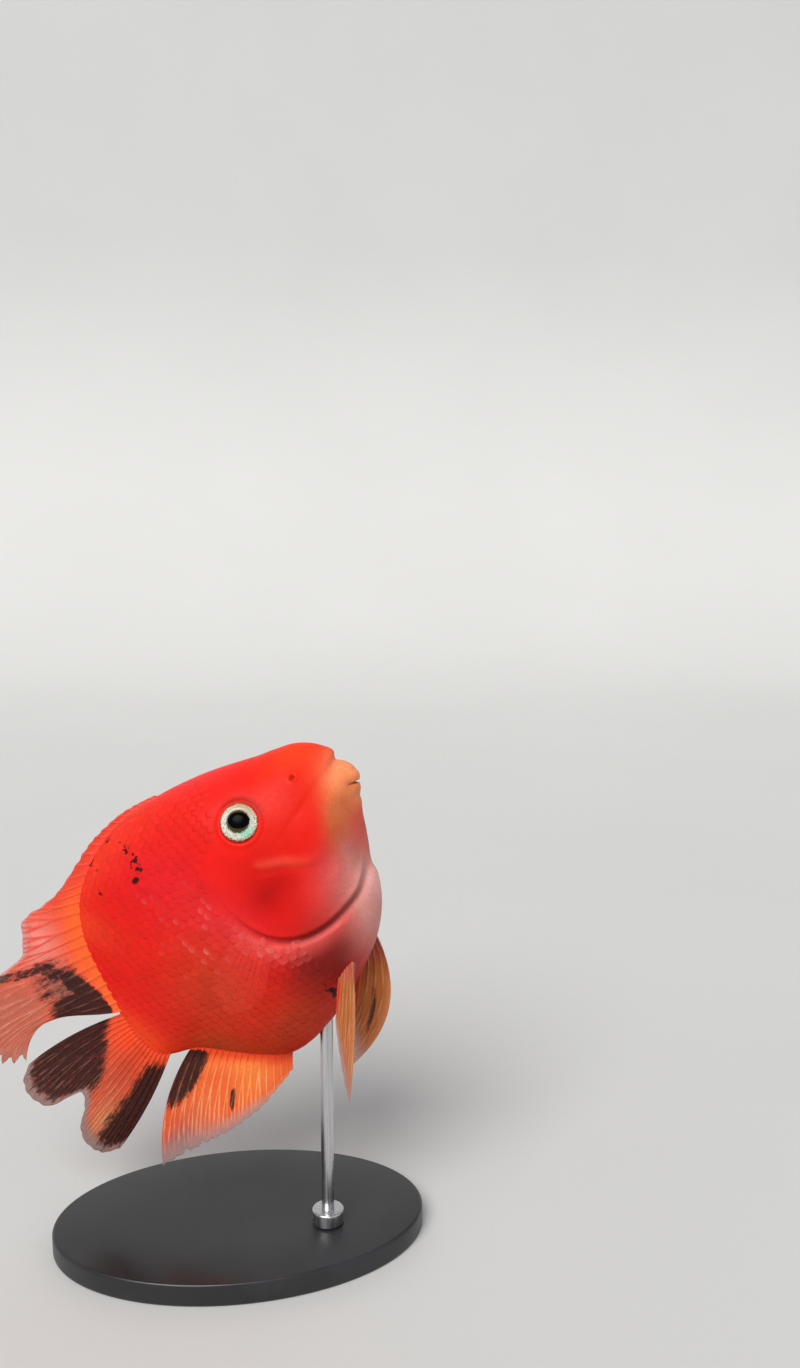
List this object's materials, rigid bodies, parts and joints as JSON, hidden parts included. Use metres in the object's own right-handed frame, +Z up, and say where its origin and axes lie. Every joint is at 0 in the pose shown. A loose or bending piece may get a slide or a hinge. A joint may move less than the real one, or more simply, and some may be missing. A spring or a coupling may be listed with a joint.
{
  "type": "blood parrot cichlid model",
  "caption": "Life-size still model of a red blood parrot cichlid swimming nose up, with smoky orange fins, held over a flat oval base by one rod.",
  "frame": {"origin": "middle of the flat underside of the stand's base", "axes": "+Z up, +X to the side that the fish faces, -Y towards the viewer, who sees the fish's right side"},
  "size_m": [0.1822, 0.0976, 0.2057],
  "materials": {
    "skin": "wet-looking scaled skin, orange red over the head, pink and cream at the throat",
    "fin": "thin ribbed membrane, orange at the roots, smoky black and pale at the edges",
    "eye": "glossy eye with a silver ring and a black pupil",
    "stand_base": "satin black",
    "stand_metal": "brushed"
  },
  "bodies": {
    "root": {"head": "skin", "torso": "skin", "tail": "skin", "gill_cover_right": "skin", "gill_cover_left": "skin", "dorsal_fin": "fin", "anal_fin": "fin", "caudal_fin": "fin", "pectoral_fin_right": "fin", "pectoral_fin_left": "fin", "pelvic_fin_right": "fin", "pelvic_fin_left": "fin", "eye_right": "eye", "eye_left": "eye", "stand_base": "stand_base", "stand_rod": "stand_metal", "stand_collar": "stand_metal"}
  },
  "joints": []
}
